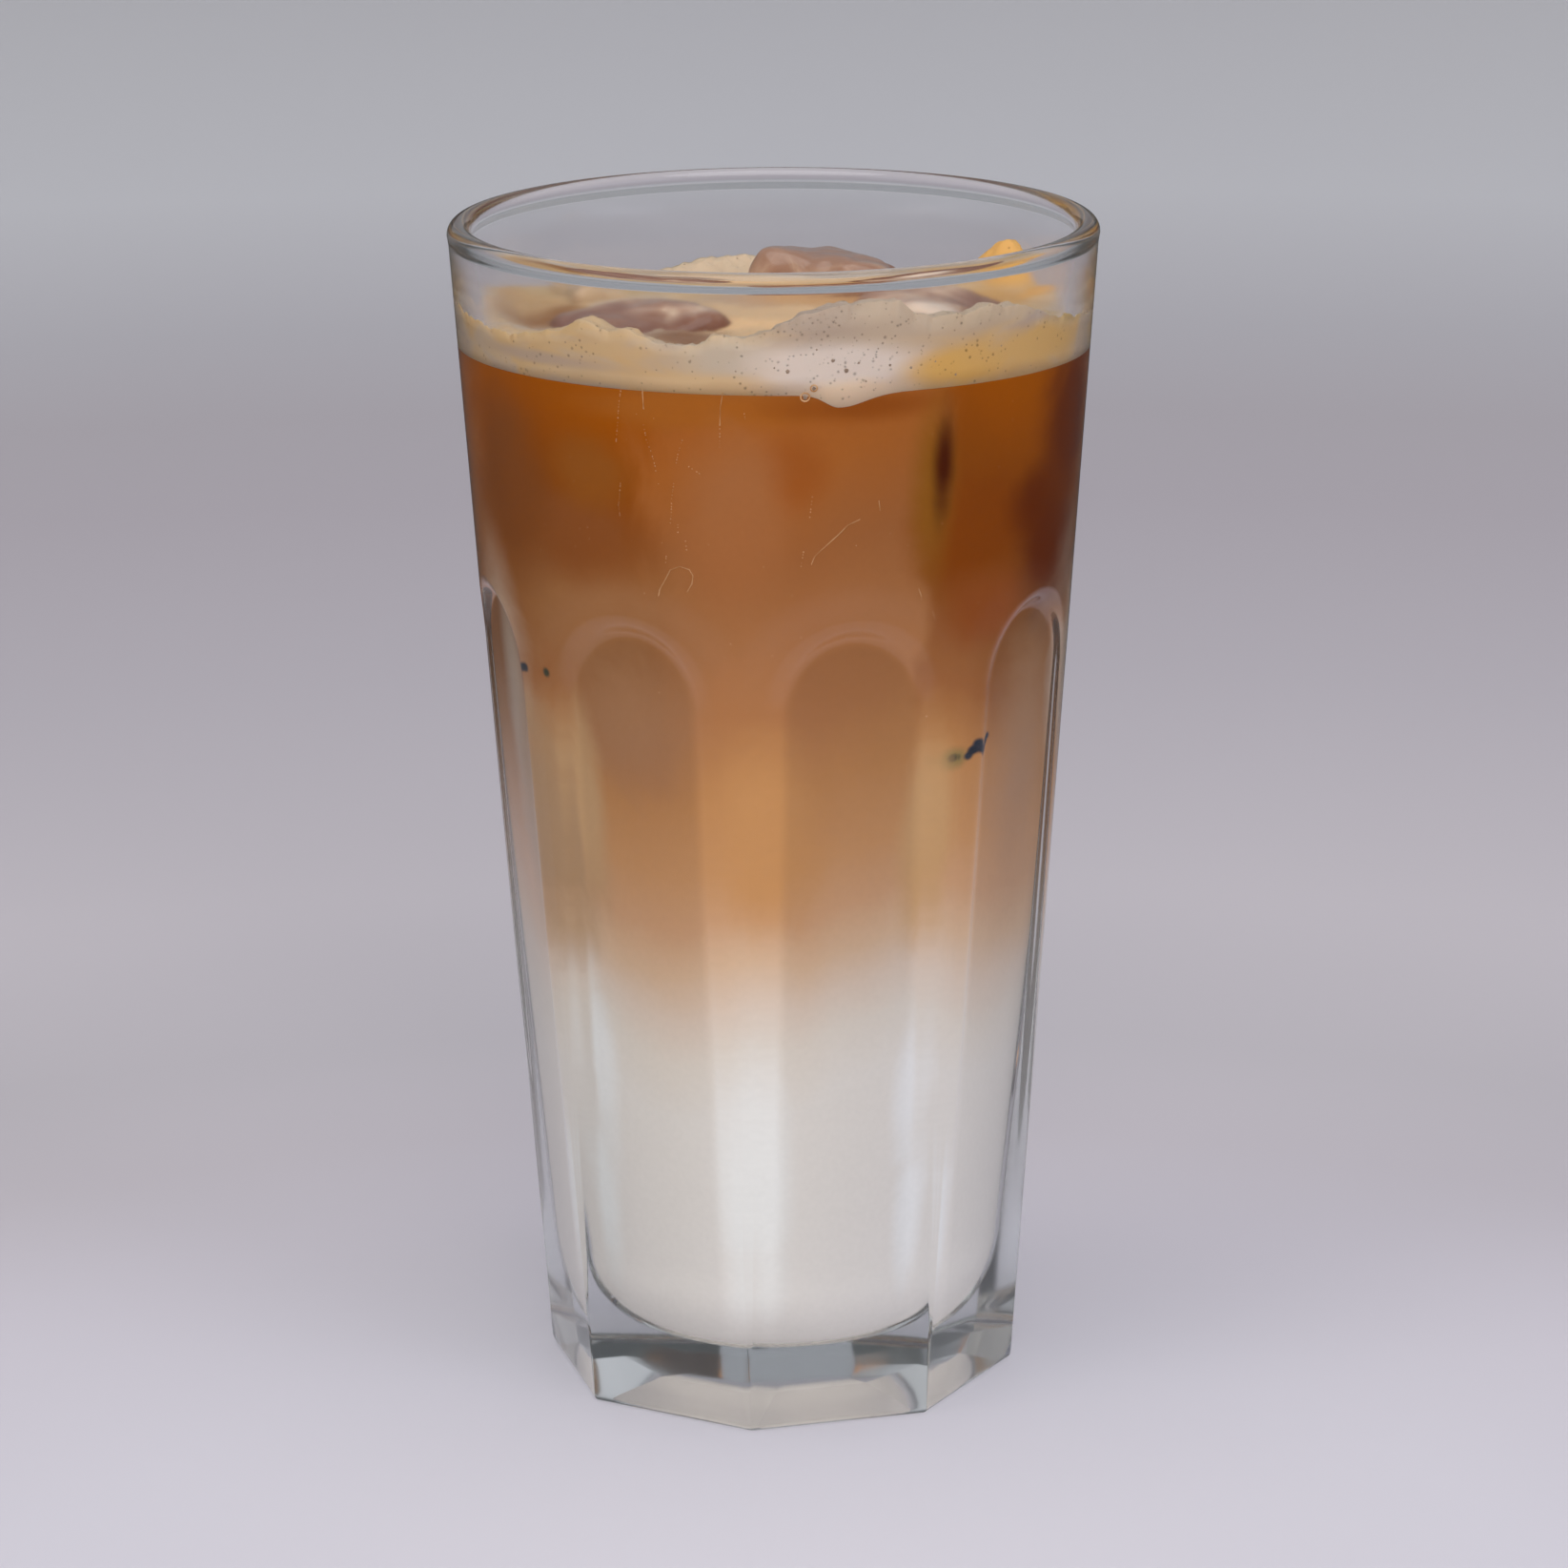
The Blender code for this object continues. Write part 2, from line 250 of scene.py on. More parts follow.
def makeTumbler(material):
    g = tumbler
    stand = apothemFoot - g["footEdge"] - g["standWidth"]
    flat, deep, hair = g["dishFlat"], g["dishDepth"], g["crease"]
    rings = [[Vector((0, 0, deep))]]
    for apothem, z in [(flat * 0.45, deep), (flat - hair, deep), (flat + hair, deep * 0.985),
                       ((flat + stand) / 2, deep / 2), (stand - hair, deep * 0.01), (stand + hair, 0.0),
                       (stand + g["standWidth"] - hair, 0.0)]:
        rings.append([Vector((p.x, p.y, z)) for p in glassRing(0.0, apothem=apothem)])
    edge = g["footEdge"]
    for step in range(7):
        turn = math.pi / 2 * step / 6
        rings.append(glassRing(edge * (1 - math.cos(turn)), inset=edge * (1 - math.sin(turn))))
    rings += [glassRing(low + gap * i) for low, gap, count in g["skinRows"] for i in range(count)]
    rings += [glassRing(z) for z in g["upperRows"]]
    bead = g["beadRadius"]
    for step in range(19):
        turn = math.pi * step / 18
        rings.append(glassRing(g["height"] - bead + bead * math.sin(turn),
                               radius=g["rimRadius"] - bead + bead * math.cos(turn)))
    for step in range(1, 19):
        z = g["height"] - bead - g["beadRow"] * step
        rings.append(glassRing(z, radius=beadInside(z)))
    rings += [glassRing(z, radius=innerRadius(z)) for z in g["insideRows"]]
    corner = g["floorCorner"]
    foot = g["floorHeight"] + corner
    middle = innerRadius(foot) - corner
    for step in range(13):
        turn = math.pi / 2 * step / 12
        rings.append(glassRing(foot - corner * math.sin(turn), radius=middle + corner * math.cos(turn),
                               columnsAt=foot))
    for share in (0.95, 0.6, 0.3):
        rings.append(glassRing(g["floorHeight"], radius=middle * share, columnsAt=foot))
    rings.append([Vector((0, 0, g["floorHeight"]))])
    return lathe("tumbler", rings, material)


# Soda-lime glass, pressed in a mould: clear, green-grey where it is thick, with slow ripples in its skin.
# The flat panels gather less light than the round ribs between them, so the drink looks darker through them.
def pressedSodaLimeGlass():
    g = tumbler
    material, add, place = newMaterial("pressedSodaLimeGlass")
    axes = add("SeparateXYZ", {}, {"Vector": place})
    fromFacet = add("Math", {"operation": "SUBTRACT", 1: g["facetTurn"]}, {0: turnNode(add, axes)})
    inFacet = add("Math", {"operation": "WRAP", 1: facetHalf, 2: -facetHalf}, {0: fromFacet})
    sine = add("Math", {"operation": "SINE"}, {0: inFacet})
    flat = add("VectorMath", {"operation": "MULTIPLY", 1: (1.0, 1.0, 0.0)}, {0: place})
    reach = add("VectorMath", {"operation": "LENGTH"}, {0: flat})
    across = add("Math", {"operation": "MULTIPLY"}, {0: sine, 1: reach})
    above = add("Math", {"operation": "SUBTRACT", 1: g["archCentre"]}, {0: axes.outputs["Z"]})
    rise = add("Math", {"operation": "MAXIMUM", 1: 0.0}, {0: above})
    both = add("CombineXYZ", {}, {"X": across, "Y": rise})
    away = add("VectorMath", {"operation": "LENGTH"}, {0: both})
    light = add("MapRange", {**smooth, "From Min": g["panelHalf"] + g["panelEdge"][0],
                             "From Max": g["panelHalf"] + g["panelEdge"][1]}, {"Value": away})
    share = add("Math", {"operation": "DIVIDE", 1: g["height"]}, {0: axes.outputs["Z"]})
    depthShade = add("ValToRGB", {"stops": [(mm / 1000 / g["height"], v) for mm, v in g["panelShade"]]},
                     {0: share})
    gathered = add("Mix", {"data_type": "FLOAT", 3: 1.0}, {0: light, 2: depthShade})
    ripple = add("TexNoise", {"Scale": 1 / g["rippleSize"], "Detail": 1.0}, {"Vector": place})
    skin = add("Bump", {"Strength": 0.05, "Distance": 0.0004}, {"Height": ripple})
    crown = g["panelHalf"] + g["runOut"] * 0.5
    sag = add("MapRange", {**smooth, "From Min": crown, "From Max": crown + g["sagReach"]}, {"Value": away})
    lean = add("Bump", {"Strength": 1.0, "Distance": g["sag"]}, {"Height": sag, "Normal": skin})
    glass = add("BsdfPrincipled", {"Roughness": g["roughness"], "Transmission Weight": 1.0,
                                   "IOR": g["ior"]}, {"Base Color": gathered, "Normal": lean})
    shade = add("BsdfTransparent", {"Color": linear(g["shade"])})
    path = add("LightPath")
    mixed = add("MixShader", {}, {0: path.outputs["Is Shadow Ray"], 1: glass, 2: shade})
    depth = add("VolumeAbsorption", {"Color": linear(g["tint"]), "Density": g["tintDensity"]})
    add("OutputMaterial", {}, {"Surface": mixed, "Volume": depth})
    return material


# Milk and coffee

drink = {
    "intoWall": 0.0001,  # how far the drink lies in the glass, so that no air shows between them
    "milkTop": 0.0550, "coffeeTop": 0.1235,
    "columns": 224, "sharpAbove": 50,
    "lowRamp": [  # height in mm and the colour of the mixed drink there, under full light
        (7, "eee8e4"), (40, "eee8e2"), (47, "ebe1d6"), (52, "e8d4c3"), (57, "e2bf9e"),
        (63, "d8a77d"), (70, "d19a65"), (79, "c68c53"),
    ],
    "milkyRamp": [  # how it goes on upwards where the coffee holds much milk
        (88, "b87d4c"), (97, "af7649"), (108, "a5693c"), (118, "ad672e"), (123, "ac642b"), (126, "9f5d27"),
    ],
    "clearRamp": [  # and where it holds little milk
        (86, "a86c3c"), (93, "9a602f"), (99, "955927"), (104, "935520"), (110, "8f4d15"), (116, "964f10"),
        (120, "9f530d"), (124, "a45609"),
    ],
    "waveSize": 0.021, "waveRise": 0.0030, "wispSize": 0.013333,
    "grainSize": 0.00071429,  # clouds of fat, coarser than real so that they show
    "tideReach": 0.010,
    "tide": [  # turn in degrees, mm the blend lies higher
        (-180, 0.0), (-110, 1.5), (-78, 0.6), (-66, 1.0), (-55, 5.0), (-44, -0.5), (-30, -3.0),
        (-17, -1.6), (-7, 1.2), (3, -1.2), (9, 0.0), (15, 2.4), (25, 2.6), (37, 6.0), (47, 1.4),
        (60, -0.8), (80, 0.0), (180, 0.0),
    ],
    "plumes": [  # milky coffee: turn in degrees, half width where it is full, half width where it ends
        (3.5, 25.0, 33.0), (118.0, 14.0, 40.0), (186.0, 18.0, 46.0), (262.0, 10.0, 34.0),
    ],
    "swirlsAndRibLight": [  # turn in degrees, height, half width and half height in mm, softness of the edge, colour
        (-42, 98, 12, 9, 0.6, "a67246"),  # milkier, lower left
        (-42, 108, 8, 5, 0.6, "93562a"),
        (-62, 112, 6, 10, 0.6, "8b5024"),
        (-38, 116, 5, 4, 0.6, "9a5a20"),
        (-14, 124, 14, 2.0, 0.6, "ab6424"),  # brighter under the foam
        (3, 117, 3.6, 4.2, 0.55, "a55d27"),  # redder cloud in the middle
        (-8, 112, 5, 9, 0.6, "ae7042"),
        (16, 124.4, 9, 1.5, 0.8, "96501a"),
        (45, 108, 8, 7, 0.55, "8d4710"),
        (49, 99, 6, 4, 0.7, "985224"),
        (71, 80, 6.5, 15, 0.95, "c0936e"),  # milk that rises along the outer ribs
        (77, 100, 4.5, 7, 0.7, "96705a"),
        (-74, 87, 4.5, 14, 0.7, "d8bda6"),
        (93, 88, 4.5, 10, 0.7, "cdb49f"),
        (60, 110, 4, 4, 0.7, "70320c"),
        (-34, 86, 7, 7, 0.8, "b7855c"),
        (67, 105, 5.0, 7.5, 0.8, "6a2e0e"),  # dark red clear coffee at the right
        (74, 118, 6.5, 11, 0.55, "6f3312"),
        (31.8, 114.5, 2.3, 9.5, 0.8, "96601f"),  # olive rim of the dark spindle
        (33.9, 117.2, 1.15, 7.0, 0.85, "4f200c"),
        (41.7, 81.0, 1.7, 1.2, 0.6, "8f7c48"),  # dark flecks, one with an olive stain
        (41.9, 81.1, 0.75, 0.5, 0.45, "3c4234"),
        (45.9, 81.0, 0.7, 0.5, 0.45, "2a3240"), (47.3, 81.6, 0.9, 0.6, 0.4, "1b2433"),
        (48.8, 82.3, 0.9, 0.6, 0.4, "1f2939"), (50.3, 82.8, 0.7, 0.5, 0.45, "2b3648"),
        (-64, 90.2, 0.7, 0.6, 0.4, "263444"), (-56.5, 90.4, 0.6, 0.6, 0.45, "3f4434"),
        (-62, 72, 6.5, 14, 0.6, "b9946d"),
        (-50, 76, 2.6, 11, 0.6, "cfa678"),  # light that the ribs gather on the drink
        (37, 72, 2.8, 13, 0.6, "d4a671"),
        (-3, 73, 5.0, 10, 0.6, "d0965a"),
        (-56, 42, 2.3, 12, 0.7, "f8f8f7"),  # the same on the milk
        (-62, 26, 2.2, 10, 0.7, "f8f8f7"), (-7, 29, 2.4, 20, 0.8, "f6f5f3"),
        (39, 40, 1.8, 9, 0.7, "f8f7f7"), (43, 25, 1.8, 10, 0.7, "f8f7f7"),
    ],
    "ior": 1.44,  # syrup and milk
}


def drinkRing(z, radius=None, level=None):
    ring = []
    for i in range(drink["columns"]):
        turn = 2 * math.pi * i / drink["columns"]
        height = z if level is None else level(turn)
        reach = innerRadius(height) + drink["intoWall"] if radius is None else radius
        ring.append(around(reach, turn, height))
    return ring


def makeMilk(material):
    corner, top = tumbler["floorCorner"], drink["milkTop"]
    foot = tumbler["floorHeight"] + corner
    middle = innerRadius(foot) - corner
    under = tumbler["floorHeight"] - drink["intoWall"]
    rings = [[Vector((0, 0, under))]] + [drinkRing(under, middle * share) for share in (0.4, 0.8, 0.98)]
    reach = corner + drink["intoWall"]
    for step in range(15):
        turn = math.pi / 2 * (1 - step / 14)
        rings.append(drinkRing(foot - reach * math.sin(turn), middle + reach * math.cos(turn)))
    rings += [drinkRing(z) for z in (0.018, 0.024, 0.032, 0.040, 0.048, top)]
    rings += [drinkRing(top, innerRadius(top) * share) for share in (0.8, 0.4)]
    rings.append([Vector((0, 0, top))])
    return lathe("pouredMilk", rings, material, drink["sharpAbove"])


def makeCoffee(material):
    low, foot = drink["milkTop"], foam["foot"]
    rings = [[Vector((0, 0, low))]] + [drinkRing(low, innerRadius(low) * share) for share in (0.4, 0.8)]
    rings += [drinkRing(low + (drink["coffeeTop"] - low) * i / 14) for i in range(15)]
    top = drinkRing(0, level=foamFoot)
    rings.append(top)
    for share in (0.8, 0.4):
        rings.append([Vector((p.x * share, p.y * share, foot + (p.z - foot) * share)) for p in top])
    rings.append([Vector((0, 0, foot))])
    return lathe("milkyCoffee", rings, material, drink["sharpAbove"])


# Milk poured under espresso: opaque, matte inside, its only gloss is the wet face against the glass.
# Cream white at the foot, a cloudy tan blend, then amber coffee with milk rising through it.
def layeredMilkCoffee(name):
    material, add, place = newMaterial(name)
    axes = add("SeparateXYZ", {}, {"Vector": place})
    wave = add("TexNoise", {"Scale": 1 / drink["waveSize"], "Detail": 3.0, "Roughness": 0.5,
                            "Distortion": 0.6}, {"Vector": place})
    rise = add("MapRange", {"To Min": -drink["waveRise"], "To Max": drink["waveRise"]}, {"Value": wave})
    waved = add("Math", {"operation": "ADD"}, {0: axes.outputs["Z"], 1: rise})
    sweep = add("MapRange", {"From Min": -math.pi, "From Max": math.pi}, {"Value": turnNode(add, axes)})
    reach = drink["tideReach"]
    tide = add("ValToRGB", {"interpolation": "B_SPLINE", "stops": [
        (degrees / 360 + 0.5, 0.5 + mm / 2000 / reach) for degrees, mm in drink["tide"]]}, {0: sweep})
    lift = add("MapRange", {"To Min": reach, "To Max": -reach}, {"Value": tide})
    level = add("Math", {"operation": "ADD"}, {0: waved, 1: lift})
    share = add("Math", {"operation": "DIVIDE", 1: tumbler["height"]}, {0: level})
    mm = 0.001 / tumbler["height"]
    blend, clear = [
        add("ValToRGB", {"stops": [(high * mm, tone) for high, tone in drink["lowRamp"] + drink[ramp]]},
            {0: share})
        for ramp in ("milkyRamp", "clearRamp")]
    flat = add("VectorMath", {"operation": "MULTIPLY", 1: (1.0, 1.0, 0.0)}, {0: place})
    unit = add("VectorMath", {"operation": "NORMALIZE"}, {0: flat})
    wisp = add("TexNoise", {"Scale": 1 / drink["wispSize"], "Detail": 4.0, "Roughness": 0.55,
                            "Distortion": 1.2}, {"Vector": place})
    stray = add("MapRange", {"To Min": -0.09, "To Max": 0.09}, {"Value": wisp})
    milky = None
    for degrees, full, end in drink["plumes"]:
        toward = around(1.0, math.radians(degrees), 0.0)
        near = add("VectorMath", {"operation": "DOT_PRODUCT", 1: toward}, {0: unit})
        bent = add("Math", {"operation": "ADD"}, {0: near, 1: stray})
        plume = add("MapRange", {**smooth, "From Min": math.cos(math.radians(end)),
                                 "From Max": math.cos(math.radians(full))}, {"Value": bent})
        milky = plume if milky is None else add("Math", {"operation": "MAXIMUM"}, {0: milky, 1: plume})
    mixed = add("Mix", {"data_type": "RGBA"}, {0: milky, 6: clear, 7: blend})
    ragged = add("MapRange", {"To Min": -0.5, "To Max": 0.5}, {"Value": wisp})
    # milk and coffee swirls, and painted light where the ribs gather it on the drink
    swirledAndRibLit = paintSpots(add, place, mixed, wallSpots(drink["swirlsAndRibLight"]), ragged)
    grain = add("TexNoise", {"Scale": 1 / drink["grainSize"], "Detail": 2.0}, {"Vector": place})
    fleck = add("MapRange", {"From Min": 0.3, "From Max": 0.7, "To Min": 0.985, "To Max": 1.012},
                {"Value": grain})
    colour = add("Mix", multiply, {6: swirledAndRibLit, 7: fleck})
    body = add("BsdfPrincipled", {"Roughness": 0.5, "Specular IOR Level": 0.0}, {"Base Color": colour})
    edge = add("Fresnel", {"IOR": drink["ior"] / tumbler["ior"]})
    wet = add("BsdfGlossy", {"Roughness": 0.0})
    both = add("MixShader", {}, {0: edge, 1: body, 2: wet})
    add("OutputMaterial", {}, {"Surface": both})
    return material


# Foam

foam = {
    "foot": 0.1253, "level": 0.1290, "swell": 0.0007, "swellTurn": math.radians(-20),
    "dipTurn": math.radians(12.0), "dip": 0.0015, "dipWidths": (math.radians(3.6), math.radians(6.6)),
    "columns": 640, "rows": 96, "gap": 0.0003,
    "heads": [  # turn and width in degrees, height of the crest, start and crest radius
        (-38, 12, 0.0030, 0.0255, 0.0310), (-19, 9, -0.0021, 0.0185, 0.0290),
        (13, 9, 0.0040, 0.0180, 0.0292), (25, 9, 0.0034, 0.0180, 0.0292), (52, 13, 0.0024, 0.0250, 0.0310),
        (128, 12, 0.0026, 0.0270, 0.0340), (180, 62, -0.0015, 0.0180, 0.0340),
    ],
    "cling": 0.0048,  # width of the froth that climbs the glass
    "edge": [  # torn line where it ends on the glass: turn in degrees and height in mm
        (-180, 129.3), (-174, 129.7), (-166, 129.4), (-159, 128.3), (-145, 127.9), (-130, 128.2),
        (-115, 128.8), (-105, 129.6), (-92, 131.1), (-80, 131.4), (-66, 130.4), (-56, 130.6), (-48, 131.3),
        (-41, 132.2), (-37, 133.9), (-34, 133.2), (-31, 132.6), (-27.5, 132.9), (-24, 131.9),
        (-20.7, 131.5), (-15.9, 131.4), (-13, 131.9), (-11.5, 132.6), (-9.4, 132.9), (-7, 132.7),
        (-2.2, 133.3), (0, 133.7), (1.4, 134.5), (3.2, 134.7), (5, 135.3), (6.9, 135.4), (9, 136.0),
        (13.3, 136.2), (17, 136.1), (22.8, 136.3), (24.4, 135.6), (25.8, 134.7), (28, 134.5),
        (29.3, 134.1), (34.2, 134.3), (37, 134.2), (39.8, 134.4), (43, 134.9), (46, 134.0), (49, 134.3),
        (52, 133.5), (56, 132.7), (62, 131.7), (70, 130.8), (80, 129.9), (90, 129.3), (98, 130.1),
        (109, 129.1), (117, 131.3), (121, 132.6), (124, 133.7), (127, 133.2), (131, 131.4), (140, 129.0),
        (150, 127.9), (162, 127.8), (171, 128.6), (180, 129.3),
    ],
    "rough": 0.0005, "lump": 0.0065, "froth": 0.00022, "frothSize": 0.0016, "fineSize": 0.0007,
    "ragged": 0.00032, "raggedSize": 0.0008, "tatterSize": 0.0024, "raggedWidth": 0.003,  # torn edge
    "streakSize": 0.011765, "streakFlatness": 2.2,
    "poreSize": 0.00043478,  # bubbles, coarser than real so that they show
    "poreGroups": 0.0038462, "filmSize": 0.00033333,
    "tints": [  # middle, half size, softness of its edge, colour
        ((0.002, -0.010, 0.130), (0.012, 0.016, 0.010), 0.45, "d6b288"),  # open cream surface
        ((-0.0035, -0.0108, 0.129), (0.0055, 0.0042, 0.010), 0.5, "ebc08e"),
        ((0.0000, 0.0075, 0.129), (0.0090, 0.0055, 0.004), 0.5, "b09580"),  # mauve round the front of the back ice
        ((-0.0105, -0.0172, 0.1285), (0.0052, 0.0026, 0.0020), 0.5, "8a6244"),  # slush by the left ice
        ((0.010, 0.006, 0.130), (0.012, 0.005, 0.010), 0.5, "c99a68"),
        ((-0.0268, -0.0050, 0.130), (0.0052, 0.0078, 0.010), 0.45, "93612a"),  # thin dark crema beside it
        ((-0.0300, 0.0030, 0.130), (0.0040, 0.0090, 0.010), 0.5, "bb9566"),
        ((-0.0200, 0.0160, 0.130), (0.0120, 0.0080, 0.010), 0.5, "c0a276"),
        ((0.0260, 0.0060, 0.130), (0.0045, 0.0060, 0.010), 0.5, "c99a5c"),
        ((0.0325, 0.0060, 0.131), (0.0030, 0.0040, 0.005), 0.4, "e3a650"),
        ((0.0300, 0.0160, 0.130), (0.0035, 0.0045, 0.006), 0.4, "dda550"),  # orange crumbs at the back
        ((0.0280, 0.0220, 0.133), (0.0050, 0.0060, 0.004), 0.4, "d9a65f"),
        ((-0.005, 0.032, 0.130), (0.014, 0.008, 0.004), 0.4, "cfb79b"),
    ],
    "wallTints": [  # turn in degrees, height, half width and half height in mm, softness of its edge, colour
        (-48, 128.4, 10.0, 0.7, 0.7, "b8a18c"),  # mauve streak at the left
        (-36, 130.4, 9.0, 0.8, 0.7, "ceae84"),
        (-30, 127.0, 11.0, 0.6, 0.7, "cdb08a"),
        (-9, 130.2, 5.0, 2.4, 0.7, "c6b5a2"),
        (-12, 127.2, 8.0, 0.9, 0.7, "d3b48c"),
        (12, 129.0, 8.5, 3.6, 0.5, "dccdc2"),  # white mound
        (14, 125.6, 7.0, 1.6, 0.5, "e6cdb2"),
        (11, 134.9, 9.5, 2.9, 0.5, "b09c8c"),  # its dried grey skin
        (27, 134.8, 8.5, 3.4, 0.5, "bfaa95"),
        (43, 133.6, 7.0, 1.9, 0.5, "bca68e"),
        (38, 128.0, 7.0, 2.0, 0.45, "d6a962"),  # crema at the right
        (56, 129.2, 9.0, 2.6, 0.5, "cfa76c"),
        (70, 131.6, 6.0, 1.4, 0.6, "b89a6a"),
    ],
    "crust": (13.0, 133.6),  # middle of the driest skin: turn in degrees, height in mm
    "pitSunk": 0.78,  # share of its radius that an open bubble lies in the foam
    "pits": [  # open bubbles: turn in degrees, height and radius in mm
        (0.0, 129.2, 0.22), (2.4, 128.8, 0.46), (10.6, 129.9, 0.40), (13.1, 128.7, 0.50),
        (15.4, 129.5, 0.26), (21.4, 129.0, 0.30), (25.6, 128.5, 0.30), (16.9, 127.3, 0.20),
        (35.2, 127.1, 0.28), (-7.0, 128.8, 0.22), (-23.6, 131.0, 0.16), (-37.4, 129.3, 0.26),
        (30.6, 128.9, 0.20), (7.6, 131.2, 0.20), (27.5, 130.4, 0.16), (-15.2, 129.9, 0.16),
        (-2.4, 127.0, 0.16), (45.8, 129.6, 0.20), (-41.0, 130.7, 0.20), (19.0, 131.0, 0.18),
        (11.6, 133.9, 0.26), (14.5, 132.4, 0.22), (5.6, 125.75, 0.50), (7.2, 126.75, 0.42),
    ],
}


def foamFoot(turn):
    f = foam
    off = math.remainder(turn - f["dipTurn"], 2 * math.pi)
    off /= f["dipWidths"][0 if off < 0 else 1]
    return f["foot"] + f["swell"] * math.cos(turn - f["swellTurn"]) - f["dip"] * math.exp(-off * off)


def clingHeight(turn):
    degrees = math.degrees(math.remainder(turn, 2 * math.pi))
    for (a, low), (b, high) in zip(foam["edge"], foam["edge"][1:]):
        if degrees <= b:
            return (low + (high - low) * (degrees - a) / (b - a)) / 1000
    return foam["edge"][-1][1] / 1000


def foamTop(turn, radius):
    f = foam
    wall = innerRadius(f["level"]) - f["gap"]
    top = f["level"]
    for middle, width, height, start, crest in f["heads"]:
        off = math.remainder(turn - math.radians(middle), 2 * math.pi) / math.radians(width)
        top += height * smoothStep((radius - start) / (crest - start)) * math.exp(-off * off)
    top += (clingHeight(turn) - top) * smoothStep((radius - wall + f["cling"]) / f["cling"])
    spot = around(radius, turn, 0.0)
    lump = f["rough"] * noise.noise(spot / f["lump"])
    torn = noise.noise(spot / f["raggedSize"]) + noise.noise(spot / f["tatterSize"])
    torn *= f["ragged"] * smoothStep((radius - wall + f["raggedWidth"]) / f["raggedWidth"])
    return top + lump + torn


def frothRise(point):  # small bumps on the open surface
    f = foam
    return f["froth"] * (noise.noise(point / f["frothSize"]) + 0.5 * noise.noise(point / f["fineSize"]))


def makeFoam(material):
    f = foam
    turns = [2 * math.pi * i / f["columns"] for i in range(f["columns"])]
    feet = [foamFoot(t) for t in turns]
    edges = [foamTop(t, innerRadius(f["level"])) for t in turns]
    into = drink["intoWall"]
    rings = [[Vector((0, 0, f["foot"]))]]
    for share in (0.4, 0.8):
        rings.append([around(innerRadius(f["foot"]) * share, t, f["foot"] + (low - f["foot"]) * share)
                      for t, low in zip(turns, feet)])
    for share in (0.0, 0.25, 0.5, 0.75, 1.0):
        heights = [low + (high - low) * share for low, high in zip(feet, edges)]
        rings.append([around(innerRadius(z) + into, t, z) for t, z in zip(turns, heights)])
    for step in range(1, f["rows"]):
        ring = []
        for t, high in zip(turns, edges):
            radius = (innerRadius(high) + into) * (1 - step / f["rows"])
            point = around(radius, t, foamTop(t, radius))
            point.z += frothRise(point) * min(1.0, step / 3)
            ring.append(point)
        rings.append(ring)
    rings.append([Vector((0, 0, foamTop(0.0, 0.0)))])
    return lathe("frothHead", rings, material)


# Steamed milk froth stained by espresso: fine closed bubbles, soft scatter, yellow where crema runs in it,
# grey-brown where its skin has dried on top, whitest in the mound by the dip.
def steamedMilkFroth():
    f = foam
    material, add, place = newMaterial("steamedMilkFroth")
    stretch = add("Mapping", {"Scale": (1.0, 1.0, f["streakFlatness"])}, {"Vector": place})
    drift = add("TexNoise", {"Scale": 1 / f["streakSize"], "Detail": 3.0, "Roughness": 0.5,
                             "Distortion": 0.5}, {"Vector": stretch})
    colour = add("ValToRGB", {"stops": [(0.36, "c6a47a"), (0.48, "ceac80"), (0.6, "c2ab92"),
                                        (0.72, "b39f90")]}, {0: drift})
    stray = add("MapRange", {"To Min": -0.55, "To Max": 0.55}, {"Value": drift})
    colour = paintSpots(add, place, colour, f["tints"] + wallSpots(f["wallTints"]), stray)
    cells = add("TexVoronoi", {"Scale": 1 / f["poreSize"]}, {"Vector": place})
    broken = add("TexNoise", {"Scale": 1 / f["poreGroups"], "Detail": 2.0}, {"Vector": place})
    few = add("MapRange", {"From Min": 0.38, "From Max": 0.64, "To Min": 0.30, "To Max": 0.72},
              {"Value": broken})
    crust = add("VectorMath", {"operation": "DISTANCE", 1: onWall(*f["crust"])}, {0: place})
    more = add("MapRange", {"From Min": 0.002, "From Max": 0.010, "To Min": 0.32, "To Max": 0.68},
               {"Value": crust})  # more pores in the dried skin
    chance = add("MapRange", {"From Max": 0.85, "To Min": 0.03, "To Max": 1.0},
                 {"Value": cells.outputs["Color"], "From Min": more})
    size = add("Math", {"operation": "MULTIPLY"}, {0: few, 1: chance})
    pores = add("MapRange", {**smooth, "To Min": 0.46, "To Max": 1.0}, {"Value": cells, "From Max": size})
    pitted = add("Mix", multiply, {6: colour, 7: pores})
    skin = add("Bump", {"Strength": 0.35, "Distance": 0.0003}, {"Height": pores})
    body = add("BsdfPrincipled", {
        "Roughness": 0.55, "Specular IOR Level": 0.2, "Subsurface Weight": 0.2, "Subsurface Scale": 0.0015,
        "Subsurface Radius": (1.0, 0.7, 0.5)}, {"Base Color": pitted, "Normal": skin})
    add("OutputMaterial", {}, {"Surface": body})
    return material


def bubbleFilm(name, size, dark, pale, roughness):  # two tones in patches, with a damp glint
    material, add, place = newMaterial(name)
    patch = add("TexNoise", {"Scale": 1 / size, "Detail": 2.0}, {"Vector": place})
    tone = add("ValToRGB", {"stops": [dark, pale]}, {0: patch})
    body = add("BsdfPrincipled", {"Roughness": roughness, "Specular IOR Level": 0.4}, {"Base Color": tone})
    add("OutputMaterial", {}, {"Surface": body})
    return material


def openBubbles():  # film of a burst bubble: a shadowed brown hollow with a damp rim
    return bubbleFilm("openBubbles", foam["filmSize"], (0.4, "8c7867"), (0.62, "a89280"), 0.35)


